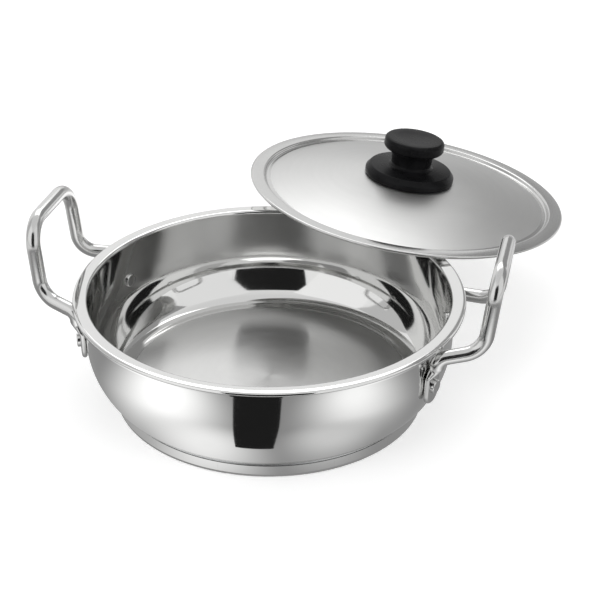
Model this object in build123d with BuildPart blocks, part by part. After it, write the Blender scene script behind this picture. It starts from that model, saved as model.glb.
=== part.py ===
# A steel kadai: a round pan with a rolled-out rim, a thick sandwich base and two riveted rod handles, with its domed
# lid set down on the rear right of the rim. Millimetres, +Z up, origin at the centre of the underside of the base.
import os
from math import acos, asin, cos, degrees, radians, sin, sqrt, tan

from build123d import *

os.makedirs("parts", exist_ok=True)

# Sandwich base: a steel cap pressed over an aluminium core
base_radius = 88.6
cap_sheet = 0.6
cap_height = 7.2
cap_edge_radius = 1.4
core_thickness = 7.2
core_clearance = 0.05
core_bevel = 0.8

# Pan wall, one sheet from the floor to the rim
sheet = 1.0
corner_radius = 12.0
belly_inset = 6.2
belly_height = 42.0
belly_curve = 46.5
flare_radius = 5.0
rim_radius = 110.0
rim_height = 66.0
rim_curl = 1.7
rim_lip = 0.7

# Handles: a round rod bent to a loop, its two ends pressed flat and riveted to the wall
rod_radius = 4.0
rod_gap = 0.25
tab_width = 12.5
tab_thickness = 3.0
tab_edge_radius = 1.2
tab_below_rivet = 11.0
tab_above_rivet = 5.5
tab_gap = 0.05
tab_root_inset = 0.05
foot_angle = 20.5
rod_rise = 11.5
neck_length = 5.5
neck_bend_radius = 5.5
loop_overhang = 14.5
loop_half_width = 29.5
loop_drop = 5.5
loop_bend_radius = 13.0
grip_overhang = 19.0
grip_half_width = 28.5
grip_rise = 37.0
grip_bend_radius = 15.0

# Rivets
rivet_height = 40.0
shank_radius = 2.5
rivet_fit = 0.03
rivet_hole_cut = 12.0
head_radius = 4.0
head_height = 2.0
head_edge_radius = 0.7
inner_head_height = 1.2
seat_gap = 0.03

# Lid sheet, from the hemmed edge inwards
lid_radius = 100.4
lid_sheet = 0.8
lid_hem = 1.1
lid_hem_turn = 150.0
flange_width = 9.2
step_radius = 1.4
step_slope = 78.0
step_drop = 2.4
dome_slope = 15.4

# Knob and its fixing
knob_foot_radius = 28.3
knob_foot_chamfer = 0.8
knob_foot_edge = 2.6
knob_foot_bevel = 2.6
knob_foot_height = 6.2
waist_radius = 12.6
waist_height = 9.6
waist_flare = 1.6
collar_radius = 15.6
collar_height = 1.4
knob_cap_radius = 19.0
knob_cap_thickness = 7.6
knob_cap_rounding = 2.4
knob_dish_radius = 14.0
knob_dish_depth = 0.7
insert_radius = 4.0
insert_length = 13.0
insert_floor = 2.0
screw_radius = 2.5
screw_fit = 0.05
screw_hole_clearance = 0.3
screw_reach = 9.0
screw_head_radius = 4.6
screw_head_height = 2.6
screw_head_rounding = 1.2
slot_width = 1.2
slot_depth = 1.1
washer_radius = 7.5
washer_thickness = 1.0
washer_chamfer = 0.2

# Where the lid lies
lid_offset = 48.3
lid_azimuth = 70.7
lid_tilt = 7.4
lid_tilt_azimuth = 33.0
rest_gap = 0.3


def around(reach, angle, height):
    """A point at a distance from the pan's axis, at an angle round it and at a height."""
    return Vector(reach * cos(radians(angle)), reach * sin(radians(angle)), height)


# Base

floor_underside = cap_sheet + core_thickness
core_radius = base_radius - cap_sheet - core_clearance

with BuildPart() as base_cap:
    with BuildSketch(Plane.XZ):
        with BuildLine():
            Polyline(
                (0, 0),
                (base_radius, 0),
                (base_radius, cap_height),
                (base_radius - cap_sheet, cap_height),
                (base_radius - cap_sheet, cap_sheet),
                (0, cap_sheet),
                close=True,
            )
        make_face()
    revolve(axis=Axis.Z)
    fillet(base_cap.edges().group_by(Axis.Z)[0], cap_edge_radius)
    inner_corner = base_cap.edges().filter_by_position(Axis.Z, 0, cap_edge_radius, inclusive=(False, False))
    fillet(inner_corner, cap_edge_radius - cap_sheet)

with BuildPart() as base_core:
    with BuildSketch(Plane.XY.offset(cap_sheet)):
        Circle(core_radius)
    extrude(amount=core_thickness)
    chamfer(base_core.edges().group_by(Axis.Z)[-1], core_bevel)
    fillet(base_core.edges().group_by(Axis.Z)[0], cap_edge_radius - cap_sheet)


# Pan. Seen from inside, the wall is one run of tangent arcs: corner, belly, then the flare that rolls out to the rim.

belly_radius = rim_radius - belly_inset
belly_centre = belly_radius - belly_curve
corner_rise = asin((belly_height - floor_underside - corner_radius) / (belly_curve - corner_radius))
floor_radius = belly_radius - belly_curve * (1 - cos(corner_rise)) - corner_radius * cos(corner_rise)
neck_rise = asin((rim_height - flare_radius - belly_height) / (belly_curve - sheet + flare_radius))


def wall_reach(height):
    """Outside radius of the wall at a height on the belly."""
    return belly_centre + sqrt(belly_curve**2 - (height - belly_height) ** 2)


def foot_plane(angle):
    """Plane tangent to the outside of the wall at a rivet, with its normal outwards and its Y up the wall."""
    lean = asin((rivet_height - belly_height) / belly_curve)
    return Plane(
        origin=around(wall_reach(rivet_height), angle, rivet_height),
        x_dir=around(1, angle + 90, 0),
        z_dir=around(cos(lean), angle, sin(lean)),
    )


feet = {
    "right_front": foot_plane(-foot_angle),
    "right_rear": foot_plane(foot_angle),
    "left_front": foot_plane(180 + foot_angle),
    "left_rear": foot_plane(180 - foot_angle),
}

with BuildPart() as bowl:
    with BuildSketch(Plane.XZ):
        with BuildLine():
            floor = Line((0, floor_underside + sheet), (floor_radius, floor_underside + sheet))
            corner = JernArc(floor @ 1, floor % 1, corner_radius - sheet, 90 - degrees(corner_rise))
            belly = JernArc(corner @ 1, corner % 1, belly_curve - sheet, degrees(corner_rise + neck_rise))
            flare = JernArc(belly @ 1, belly % 1, flare_radius, -90 - degrees(neck_rise))
            flat = Line(flare @ 1, (rim_radius - rim_curl, rim_height))
            curl = JernArc(flat @ 1, flat % 1, rim_curl, -90)
            Line(curl @ 1, curl @ 1 - (0, rim_lip))
            offset(amount=sheet, side=Side.RIGHT)
        make_face()
    revolve(axis=Axis.Z)
    with Locations(*[Location(foot) for foot in feet.values()]):
        Cylinder(shank_radius + rivet_fit, rivet_hole_cut, mode=Mode.SUBTRACT)


# Handles


def flat_tab(foot, rod_start):
    """One end of the rod: a round-ended tab pressed flat, swelling to the round rod above it, with its rivet hole."""
    middle = tab_gap + tab_thickness / 2
    root_width = 2 * rod_radius - tab_root_inset
    tip_centre = foot.from_local_coords((0, tab_width / 2 - tab_below_rivet, middle))
    tab_section = Plane(origin=tip_centre, x_dir=foot.x_dir, z_dir=foot.y_dir)
    tab_top = Plane(origin=foot.from_local_coords((0, tab_above_rivet, middle)), x_dir=foot.x_dir, z_dir=foot.y_dir)
    with BuildPart() as tab:
        with BuildSketch(tab_section):
            RectangleRounded(tab_width, tab_thickness, tab_edge_radius)
        extrude(amount=tab_above_rivet + tab_below_rivet - tab_width / 2)
        with BuildSketch(tab_section):
            RectangleRounded(tab_width, tab_thickness, tab_edge_radius)
            split(bisect_by=Plane.YZ)
        revolve(axis=Axis(tip_centre, foot.z_dir))
        with BuildSketch(tab_top):
            RectangleRounded(tab_width, tab_thickness, tab_edge_radius)
        with BuildSketch(Plane(origin=rod_start, x_dir=foot.x_dir, z_dir=(0, 0, 1))):
            RectangleRounded(root_width, root_width, root_width / 2 - tab_root_inset / 2)
        loft()
        with Locations(Location(foot)):
            Cylinder(shank_radius + rivet_fit, rivet_hole_cut, mode=Mode.SUBTRACT)
    return tab.part


rod_start_height = rivet_height + rod_rise
rod_distance = wall_reach(rod_start_height) + rod_radius + rod_gap


def route_corners(side):
    """Corners of the rod's route from its foot to the middle of the loop, on the front (-1) or the rear (1) side."""
    return [
        around(rod_distance, side * foot_angle, rod_start_height),
        around(rod_distance, side * foot_angle, rod_start_height + neck_length),
        Vector(rim_radius + loop_overhang, side * loop_half_width, rim_height - loop_drop),
        Vector(rim_radius + grip_overhang, side * grip_half_width, rim_height + grip_rise),
    ]


front_corners = route_corners(-1)
rear_corners = route_corners(1)
half_bends = [neck_bend_radius, loop_bend_radius, grip_bend_radius]

with BuildPart() as handle_right:
    with BuildLine() as route:
        FilletPolyline(*front_corners, *reversed(rear_corners), radius=half_bends + half_bends[::-1])
    with BuildSketch(Plane(origin=front_corners[0], x_dir=(1, 0, 0), z_dir=(0, 0, 1))):
        Circle(rod_radius)
    sweep(path=route.line)
    add(flat_tab(feet["right_front"], front_corners[0]))
    add(flat_tab(feet["right_rear"], rear_corners[0]))

with BuildPart() as handle_left:
    mirror(handle_right.part, about=Plane.YZ)


# Rivets, upset at both ends: a low head over the tab and a flatter one inside the pan


def rivet(foot):
    """A rivet through one tab and the wall."""
    tab_face = tab_gap + tab_thickness + seat_gap
    curve_drop = head_radius**2 / (2 * (belly_curve - sheet))
    inner_seat = -sheet - curve_drop - seat_gap
    with BuildPart() as piece:
        with BuildSketch(Plane(origin=foot.origin, x_dir=foot.x_dir, z_dir=-foot.y_dir)):
            with BuildLine():
                Polyline(
                    (0, inner_seat - inner_head_height),
                    (head_radius, inner_seat - inner_head_height),
                    (head_radius, inner_seat),
                    (shank_radius, inner_seat),
                    (shank_radius, tab_face),
                    (head_radius, tab_face),
                    (head_radius, tab_face + head_height),
                    (0, tab_face + head_height),
                    close=True,
                )
            make_face()
        revolve(axis=Axis(foot.origin, foot.z_dir))
        rims = piece.edges().filter_by(GeomType.CIRCLE).sort_by(Axis(foot.origin, foot.z_dir))
        fillet([rims[0], rims[-1]], head_edge_radius)
    return piece


# Lid. Its height is the one at which the step on its underside clears the rim where the two circles cross.

lean_direction = around(1, lid_tilt_azimuth, 0)
lid_distance = rim_radius + lid_offset
plug_radius = lid_radius - flange_width
crossing = (lid_distance**2 + rim_radius**2 - plug_radius**2) / (2 * lid_distance * rim_radius)
touch_point = around(rim_radius, lid_azimuth - degrees(acos(crossing)), 0)
lean_reach = (touch_point - around(lid_distance, lid_azimuth, 0)).dot(lean_direction)
plug_depth = (step_drop + lid_sheet) / cos(radians(lid_tilt))
lid_height = rim_height + rest_gap + plug_depth + lean_reach * tan(radians(lid_tilt))
lid_plane = Plane(
    origin=around(lid_distance, lid_azimuth, lid_height),
    x_dir=around(1, lid_tilt_azimuth - 90, 0),
    z_dir=around(sin(radians(lid_tilt)), lid_tilt_azimuth, cos(radians(lid_tilt))),
)
lid_section = Plane(origin=lid_plane.origin, x_dir=lid_plane.x_dir, z_dir=-lid_plane.y_dir)
lid_axis = Axis(lid_plane.origin, lid_plane.z_dir)
straight_drop = step_drop - 2 * step_radius * (1 - cos(radians(step_slope)))

with BuildPart() as lid_dish:
    with BuildSketch(lid_section):
        with BuildLine():
            flange = Line((lid_radius - lid_hem, 0), (plug_radius + step_radius * sin(radians(step_slope)), 0))
            shoulder = JernArc(flange @ 1, flange % 1, step_radius, step_slope)
            step = Line(shoulder @ 1, shoulder @ 1 + (shoulder % 1) * straight_drop / sin(radians(step_slope)))
            groove = JernArc(step @ 1, step % 1, step_radius, -step_slope - dome_slope)
            dome_curve = (groove @ 1).X / sin(radians(dome_slope))
            dome = JernArc(groove @ 1, groove % 1, dome_curve, dome_slope)
            JernArc(flange @ 0, (1, 0), lid_hem, -lid_hem_turn)
            offset(amount=lid_sheet, side=Side.LEFT)
        make_face()
    revolve(axis=lid_axis)
    with Locations(Location(lid_plane)):
        Cylinder(screw_radius + screw_hole_clearance, 3 * (dome @ 1).Y, mode=Mode.SUBTRACT)

dome_top = (dome @ 1).Y


def dome_height(reach):
    """Height of the dome's outer face over the flange, at a distance from the lid's middle."""
    return dome_top - dome_curve + sqrt(dome_curve**2 - reach**2)


# Knob

knob_base = dome_top + seat_gap
foot_top = knob_base + knob_foot_height
waist_top = foot_top + waist_height
collar_top = waist_top + collar_height
knob_top = collar_top + knob_cap_thickness
foot_underside = knob_foot_radius - knob_foot_chamfer
knob_dish_curve = (knob_dish_radius**2 + knob_dish_depth**2) / (2 * knob_dish_depth)

with BuildPart() as knob:
    with BuildSketch(lid_section):
        with BuildLine():
            bore = Line((0, knob_base + insert_length), (insert_radius, knob_base + insert_length))
            seat_start = degrees(acos(insert_radius / dome_curve))
            seat_end = degrees(acos(foot_underside / dome_curve))
            seat = CenterArc((0, knob_base - dome_curve), dome_curve, seat_start, seat_end - seat_start)
            Line(bore @ 1, seat @ 0)
            edge = Polyline(
                seat @ 1,
                (knob_foot_radius, (seat @ 1).Y + knob_foot_chamfer),
                (knob_foot_radius, (seat @ 1).Y + knob_foot_chamfer + knob_foot_edge),
                (knob_foot_radius - knob_foot_bevel, foot_top - waist_flare / 2),
                (waist_radius + waist_flare, foot_top),
                (waist_radius, foot_top + waist_flare),
                (waist_radius + waist_flare / 2, waist_top),
                (collar_radius, waist_top),
                (collar_radius, collar_top),
                (knob_cap_radius, collar_top),
                (knob_cap_radius, knob_top),
                (knob_dish_radius, knob_top),
            )
            dish_sweep = degrees(asin(knob_dish_radius / knob_dish_curve))
            dish = CenterArc((0, knob_top - knob_dish_depth + knob_dish_curve), knob_dish_curve, -90, dish_sweep)
            Line(dish @ 0, bore @ 0)
        make_face()
    revolve(axis=lid_axis)
    rounds = knob.edges().filter_by(GeomType.CIRCLE).filter_by(lambda rim: abs(rim.radius - knob_cap_radius) < seat_gap)
    fillet(rounds, knob_cap_rounding)

with BuildPart() as knob_insert:
    with BuildSketch(lid_section):
        with BuildLine():
            Polyline(
                (0, knob_base + insert_length - seat_gap),
                (insert_radius - seat_gap, knob_base + insert_length - seat_gap),
                (insert_radius - seat_gap, knob_base),
                (screw_radius + screw_fit, knob_base),
                (screw_radius + screw_fit, knob_base + insert_length - insert_floor),
                (0, knob_base + insert_length - insert_floor),
                close=True,
            )
        make_face()
    revolve(axis=lid_axis)

washer_top = dome_height(washer_radius) - lid_sheet - seat_gap
washer_underside = washer_top - washer_thickness

with BuildPart() as knob_washer:
    with BuildSketch(lid_plane.offset(washer_underside)):
        Circle(washer_radius)
        Circle(screw_radius + screw_fit, mode=Mode.SUBTRACT)
    extrude(amount=washer_thickness)
    washer_rims = knob_washer.edges().filter_by(GeomType.CIRCLE)
    chamfer(washer_rims.filter_by(lambda rim: rim.radius > screw_head_radius), washer_chamfer)

with BuildPart() as knob_screw:
    with BuildSketch(lid_plane.offset(washer_underside - seat_gap)):
        Circle(screw_head_radius)
    extrude(amount=-screw_head_height)
    fillet(knob_screw.edges().sort_by(lid_axis)[0], screw_head_rounding)
    with BuildSketch(lid_plane.offset(washer_underside - seat_gap)):
        Circle(screw_radius)
    extrude(amount=knob_base + screw_reach - washer_underside)
    with BuildSketch(lid_plane.offset(washer_underside - seat_gap - screw_head_height)):
        Rectangle(2 * screw_head_radius, slot_width)
        Rectangle(slot_width, 2 * screw_head_radius)
    extrude(amount=slot_depth, mode=Mode.SUBTRACT)


# Written out, one file for each piece

pieces = {
    "bowl": bowl,
    "base_core": base_core,
    "base_cap": base_cap,
    "handle_right": handle_right,
    "handle_left": handle_left,
    "lid_dish": lid_dish,
    "knob": knob,
    "knob_insert": knob_insert,
    "knob_washer": knob_washer,
    "knob_screw": knob_screw,
}
for place, foot in feet.items():
    pieces[f"rivet_{place}"] = rivet(foot)

for name, piece in pieces.items():
    piece.part.label = name
    export_step(piece.part, f"parts/{name}.step")
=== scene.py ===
"""A steel kadai with riveted handles and its lid lying on the rim, dressed and set in a plain studio."""

from math import acos, asin, ceil, cos, pi, radians, sin, sqrt, tan

import bmesh
import bpy
from mathutils import Matrix, Vector


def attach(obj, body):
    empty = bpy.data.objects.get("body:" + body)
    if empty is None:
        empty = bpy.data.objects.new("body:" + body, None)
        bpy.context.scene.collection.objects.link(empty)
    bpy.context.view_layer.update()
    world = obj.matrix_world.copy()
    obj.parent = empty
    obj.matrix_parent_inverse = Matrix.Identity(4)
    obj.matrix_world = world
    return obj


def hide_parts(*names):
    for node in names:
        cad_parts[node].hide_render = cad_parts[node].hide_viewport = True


bl_info = {
    "name": "Steel kadai",
    "version": (1, 0, 0),
    "blender": (4, 5, 0),
    "location": "3D View > Sidebar > Kadai",
    "description": "Builds a steel kadai with its lid, piece by piece, and a plain studio round it",
    "category": "Add Mesh",
}

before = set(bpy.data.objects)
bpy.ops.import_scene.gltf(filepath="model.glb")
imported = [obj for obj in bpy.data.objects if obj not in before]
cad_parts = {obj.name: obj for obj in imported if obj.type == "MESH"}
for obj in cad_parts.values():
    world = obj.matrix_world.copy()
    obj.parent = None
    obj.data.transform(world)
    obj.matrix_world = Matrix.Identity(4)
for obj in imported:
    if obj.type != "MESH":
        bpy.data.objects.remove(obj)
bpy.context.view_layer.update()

ROUND_STEPS = 256
KNOB_STEPS = 128
RIVET_STEPS = 64
ROD_SEGMENTS = 48
ROOT_STEPS = 14  # Sections between the flat tab and the round rod
TAB_END_STEPS = 24
ARC_ANGLE = radians(9)  # The most that one step of an outline's arc turns
ARC_LENGTH = 0.0025  # The longest step of an outline's arc
ROD_ANGLE = radians(4)  # The most that one step of the rod's bends turns
SHARP_EDGE = radians(35)  # Past this, shading shows an edge
MOULDED_EDGE = radians(25)  # Past this, an edge of the knob is softened
SAME_POINT = 1e-6
RIVETS = {  # Side of the pan that its handle is on, and side of the handle's middle
    "right_front": (1, -1),
    "right_rear": (1, 1),
    "left_front": (-1, -1),
    "left_rear": (-1, 1),
}


# Sizes and colours


def length(label, metres, description):
    """A length that the sidebar shows with its unit."""
    return bpy.props.FloatProperty(
        name=label, description=description, default=metres, precision=5, unit="LENGTH", subtype="DISTANCE"
    )


def turn(label, degrees, description):
    """An angle that the sidebar shows in degrees."""
    value = radians(degrees)
    return bpy.props.FloatProperty(name=label, description=description, default=value, subtype="ANGLE")


def share(label, value, description):
    """A plain number between 0 and 1."""
    return bpy.props.FloatProperty(name=label, description=description, default=value, min=0, max=1)


def colour(label, red, green, blue, description):
    """A colour of a finish."""
    return bpy.props.FloatVectorProperty(
        name=label, description=description, default=(red, green, blue), size=3, min=0, max=1, subtype="COLOR"
    )


class KadaiPanSizes(bpy.types.PropertyGroup):
    """Sizes of the pan's sheet and its thick base."""

    base_radius: length("Base radius", 0.0886, "Outside radius of the thick base")
    cap_sheet: length("Cap sheet", 0.0006, "Thickness of the steel cap under the base")
    cap_height: length("Cap height", 0.0072, "Height of the steel cap's side")
    cap_edge: length("Cap edge", 0.0014, "Rounding of the cap's lower edge")
    core_thickness: length("Core thickness", 0.0072, "Thickness of the disc inside the base")
    sheet: length("Sheet", 0.001, "Thickness of the pan's wall")
    corner: length("Corner radius", 0.012, "Outside radius between the floor and the wall")
    belly_inset: length("Belly inset", 0.0062, "How far the belly stays inside the rim")
    belly_height: length("Belly height", 0.042, "Height of the widest part of the belly")
    belly_curve: length("Belly curve", 0.0465, "Outside radius of the section below the widest part")
    upper_curve: length("Upper curve", 0.26, "Outside radius of the section above the widest part")
    flare: length("Flare radius", 0.0018, "Inside radius where the wall turns out to the rim")
    rim_radius: length("Rim radius", 0.11, "Outside radius of the rim")
    rim_height: length("Rim height", 0.066, "Height of the rim's flat top")
    rim_curl: length("Rim curl", 0.0017, "Rounding of the rim's outer edge")
    rim_lip: length("Rim lip", 0.0007, "Height of the lip that is turned down")


class KadaiHandleSizes(bpy.types.PropertyGroup):
    """Sizes of a rod handle, of its flat tabs and of their rivets."""

    rod: length("Rod radius", 0.004, "Radius of the round rod")
    rod_gap: length("Rod gap", 0.00025, "Gap between the wall and the rod above the tab")
    tab_width: length("Tab width", 0.0125, "Width of the flat tab")
    tab_thickness: length("Tab thickness", 0.003, "Thickness of the flat tab")
    tab_below: length("Tab below rivet", 0.011, "From the rivet down to the tab's end")
    tab_above: length("Tab above rivet", 0.0055, "From the rivet up to where the tab swells")
    tab_gap: length("Tab gap", 0.00005, "Gap between the wall and the tab")
    foot_angle: turn("Foot angle", 20.5, "Angle from the middle of a handle to its rivets")
    root_rise: length("Root rise", 0.0115, "From the rivets up to where the rod is round")
    neck_length: length("Neck length", 0.0055, "From there up to the bend's corner")
    neck_bend: length("Neck bend", 0.0055, "Radius of the bend above the tab")
    loop_overhang: length("Loop overhang", 0.0145, "How far the loop's lower bends stand out beyond the rim")
    loop_half_width: length("Loop half width", 0.0295, "Half of the distance between the loop's lower bends")
    loop_drop: length("Loop drop", 0.0055, "Depth of the loop's lower bends under the rim's top")
    loop_bend: length("Loop bend", 0.013, "Radius of the loop's lower bends")
    grip_overhang: length("Grip overhang", 0.019, "How far the grip stands out beyond the rim")
    grip_half_width: length("Grip half width", 0.0285, "Half of the distance between the grip's bends")
    grip_rise: length("Grip rise", 0.037, "Height of the grip over the rim's top")
    grip_bend: length("Grip bend", 0.015, "Radius of the grip's bends")
    rivet_height: length("Rivet height", 0.04, "Height of the rivets on the wall")
    head_radius: length("Head radius", 0.004, "Radius of a rivet's heads")
    head_height: length("Head height", 0.002, "Height of a rivet's outer head")
    head_edge: length("Head edge", 0.0007, "Rounding of a rivet's heads")
    inner_head_height: length("Inner head height", 0.0012, "Height of a rivet's head inside the pan")
    shank_radius: length("Shank radius", 0.0025, "Radius of a rivet's shank")
    seat_gap: length("Seat gap", 0.00003, "Gap under each head")


class KadaiLidSizes(bpy.types.PropertyGroup):
    """Sizes of the lid's sheet and where it lies."""

    radius: length("Lid radius", 0.1004, "Outside radius of the lid")
    sheet: length("Lid sheet", 0.0008, "Thickness of the lid's sheet")
    hem: length("Hem radius", 0.0011, "Radius of the hem round the edge")
    hem_turn: turn("Hem turn", 150, "How far the hem is turned down and back")
    flange: length("Flange width", 0.0092, "From the edge to the step")
    step_round: length("Step rounding", 0.0014, "Rounding at the step's top and foot")
    step_slope: turn("Step slope", 78, "Slope of the step")
    step_drop: length("Step drop", 0.0024, "Height of the step")
    dome_slope: turn("Dome slope", 15.4, "Slope of the dome at its edge")
    offset: length("Offset", 0.0483, "From the rim to the lid's middle")
    azimuth: turn("Azimuth", 70.7, "Direction from the pan's axis to the lid's middle")
    tilt: turn("Tilt", 7.4, "How far the lid leans")
    tilt_azimuth: turn("Tilt direction", 33, "Direction to the lid's lowest point")
    rest_gap: length("Rest gap", 0.0003, "Gap between the lid and the rim")


class KadaiKnobSizes(bpy.types.PropertyGroup):
    """Sizes of the knob."""

    seat_gap: length("Seat gap", 0.00003, "Gap between the knob and the lid")
    foot_radius: length("Foot radius", 0.0283, "Radius of the knob's foot")
    foot_chamfer: length("Foot chamfer", 0.0008, "Chamfer under the foot's edge")
    foot_edge: length("Foot edge", 0.0026, "Height of the foot's upright edge")
    foot_bevel: length("Foot bevel", 0.0026, "Width of the slope on top of the foot's edge")
    foot_height: length("Foot height", 0.0062, "Height of the foot over the lid's middle")
    waist_radius: length("Waist radius", 0.0126, "Radius of the waist")
    waist_height: length("Waist height", 0.0096, "Height of the waist")
    waist_flare: length("Waist flare", 0.0016, "Width of the waist's widening at its foot")
    collar_radius: length("Collar radius", 0.0156, "Radius of the collar under the cap")
    collar_height: length("Collar height", 0.0014, "Height of the collar")
    cap_radius: length("Cap radius", 0.019, "Radius of the cap")
    cap_thickness: length("Cap thickness", 0.0076, "Thickness of the cap")
    cap_rounding: length("Cap rounding", 0.0024, "Rounding of the cap's edges")
    dish_radius: length("Dish radius", 0.014, "Radius of the shallow dish on top")
    dish_depth: length("Dish depth", 0.0007, "Depth of the dish")
    insert_radius: length("Insert radius", 0.004, "Radius of the bore for the insert")
    insert_length: length("Insert length", 0.013, "Depth of the bore for the insert")
    edge_softening: length("Edge softening", 0.0005, "Rounding of the moulded edges")


class KadaiFinishes(bpy.types.PropertyGroup):
    """Colours and gloss of the finishes."""

    steel: colour("Steel", 0.74, 0.74, 0.733, "Polished stainless steel")
    rod_steel: colour("Rod steel", 0.64, 0.64, 0.634, "Polished steel of the handles and rivets")
    lid_steel: colour("Lid steel", 0.6, 0.6, 0.594, "Satin-polished stainless steel of the lid")
    polish: share("Polish", 0.05, "Roughness of the mirror polish")
    base_polish: share("Base polish", 0.1, "Roughness of the base's cap")
    rod_polish: share("Rod polish", 0.16, "Roughness of the handles")
    rivet_polish: share("Rivet polish", 0.14, "Roughness of the rivets")
    core_polish: share("Core polish", 0.35, "Roughness of the disc inside the base")
    insert_polish: share("Insert polish", 0.3, "Roughness of the insert inside the knob")
    fixing_polish: share("Fixing polish", 0.32, "Roughness of the screw and the washer")
    knob_polish: share("Knob polish", 0.3, "Middle roughness of the knob's skin")
    satin: share("Satin", 0.32, "Roughness of the brushed floor")
    lid_polish: share("Lid polish", 0.38, "Roughness of the lid's dome")
    brushing: share("Brushing", 0.4, "How much the circular brushing stretches reflections across it")
    lid_brushing: share("Lid brushing", 0.35, "The same on the lid")
    satin_radius: length("Satin radius", 0.081, "Radius of the brushed part of the pan's floor")
    bakelite: colour("Bakelite", 0.006, 0.006, 0.0065, "Black phenolic moulding")
    aluminium: colour("Aluminium", 0.72, 0.73, 0.74, "Disc inside the base")
    brass: colour("Brass", 0.75, 0.6, 0.3, "Insert inside the knob")
    zinc: colour("Zinc", 0.66, 0.67, 0.68, "Screw and washer under the lid")


class KadaiStudio(bpy.types.PropertyGroup):
    """The studio's floor, lamps and camera."""

    floor_colour: colour("Floor", 0.9, 0.9, 0.9, "Pale floor")
    floor_lift: share("Floor lift", 0.4, "Glow of the floor where the camera sees it")
    mirrored_lift: share("Mirrored lift", 0.1, "Share of that glow where the steel mirrors the floor")
    camera_place: bpy.props.FloatVectorProperty(
        name="Camera place",
        description="Where the camera stands, in the pan's frame",
        default=(0.1791, -0.7, 0.4575),
        subtype="TRANSLATION",
    )
    camera_azimuth: turn("Camera azimuth", 13, "Direction that the camera looks in, from +Y towards -X")
    camera_pitch: turn("Camera pitch", 28.888, "How far the camera looks down")
    camera_roll: turn("Camera roll", 0.606, "Turn of the camera about its own line of sight")
    camera_lens: bpy.props.FloatProperty(name="Lens", description="Focal length in mm", default=87.8)


# Drawing and finishing meshes


def around(reach, angle, height):
    """A point at a distance from the pan's axis, at an angle round it and at a height."""
    return Vector((reach * cos(angle), reach * sin(angle), height))


class Outline:
    """A line in the XZ plane, drawn one run after another with its heading kept."""

    def __init__(self, mesh, x, z, heading=0.0):
        self.mesh = mesh
        self.tip = mesh.verts.new((x, 0, z))
        self.heading = heading

    def run(self, distance):
        """A straight run."""
        end = self.tip.co + distance * Vector((cos(self.heading), 0, sin(self.heading)))
        self.to(end.x, end.z)

    def to(self, x, z):
        """A straight run to a point, with the heading left as it is."""
        made = bmesh.ops.extrude_vert_indiv(self.mesh, verts=[self.tip])
        self.tip = made["verts"][0]
        self.tip.co = (x, 0, z)

    def bend(self, radius, angle):
        """An arc that goes on from the heading, to the left where the angle is positive."""
        side = 1 if angle > 0 else -1
        centre = self.tip.co + side * radius * Vector((-sin(self.heading), 0, cos(self.heading)))
        steps = max(ceil(abs(angle) / ARC_ANGLE), ceil(radius * abs(angle) / ARC_LENGTH))
        arc = {"cent": centre, "axis": (0, -1, 0), "angle": angle, "steps": steps}
        made = bmesh.ops.spin(self.mesh, geom=[self.tip], use_merge=False, **arc)
        self.tip = made["geom_last"][0]
        self.heading += angle

    def sheet(self, runs, thickness):
        """A sheet's section: along one face, across its edge and back along the other, on the right of the
        heading where the thickness is positive. A run is a length, a bend is a radius and an angle."""
        side = 1 if thickness > 0 else -1
        for run in runs:
            if isinstance(run, tuple):
                self.bend(*run)
            else:
                self.run(run)
        self.heading -= side * pi / 2
        self.run(abs(thickness))
        self.heading -= side * pi / 2
        for run in reversed(runs):
            if isinstance(run, tuple):
                radius, angle = run
                self.bend(radius + (thickness if angle > 0 else -thickness), -angle)
            else:
                self.run(run)


def revolve(mesh, steps=ROUND_STEPS):
    """Turns the outline into a closed round body about Z."""
    turned = {"cent": (0, 0, 0), "axis": (0, 0, 1), "angle": 2 * pi, "steps": steps, "use_merge": True}
    bmesh.ops.spin(mesh, geom=mesh.verts[:] + mesh.edges[:], **turned)
    close_skin(mesh)


def close_skin(mesh):
    """Closes the seams and turns the faces outwards."""
    bmesh.ops.remove_doubles(mesh, verts=mesh.verts[:], dist=SAME_POINT)
    bmesh.ops.recalc_face_normals(mesh, faces=mesh.faces[:])


def place_mesh(name, mesh, material):
    """Puts a finished mesh in the scene and returns its object."""
    data = bpy.data.meshes.new(name)
    mesh.to_mesh(data)
    mesh.free()
    data.materials.append(material)
    made = bpy.data.objects.new(name, data)
    bpy.context.scene.collection.objects.link(made)
    return made


def make_piece(mesh, name, body, node, material):
    """Makes a finished piece that stands for a CAD node and rides on its body."""
    piece = place_mesh(name, mesh, material)
    piece.data.shade_smooth()
    piece.data.set_sharp_from_angle(angle=SHARP_EDGE)
    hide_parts(node)
    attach(piece, body)


def dress_node(node, material):
    """Gives a CAD node that keeps its shape its finish."""
    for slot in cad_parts[node].material_slots:
        slot.material = material


# Where the pieces are


def turned_to(sideways, upwards):
    """Directions whose X and Z are these two."""
    return Matrix((sideways, upwards.cross(sideways), upwards)).transposed().to_4x4()


def curve_centre(pan, curve):
    """Distance from the pan's axis to the centre of one of the wall's curves."""
    return pan.rim_radius - pan.belly_inset - curve


def wall_curve(pan, height):
    """The wall's curve at a height, below or above its widest part."""
    return pan.upper_curve if height > pan.belly_height else pan.belly_curve


def wall_reach(pan, height):
    """Outside radius of the wall at a height."""
    curve = wall_curve(pan, height)
    return curve_centre(pan, curve) + sqrt(curve**2 - (height - pan.belly_height) ** 2)


def foot_matrix(pan, handle, angle):
    """Place of a rivet on the wall: Z outwards, Y up the wall."""
    height = handle.rivet_height
    lean = asin((height - pan.belly_height) / wall_curve(pan, height))
    tangent = around(1, angle + pi / 2, 0)
    outwards = around(cos(lean), angle, sin(lean))
    return Matrix.Translation(around(wall_reach(pan, height), angle, height)) @ turned_to(tangent, outwards)


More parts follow.
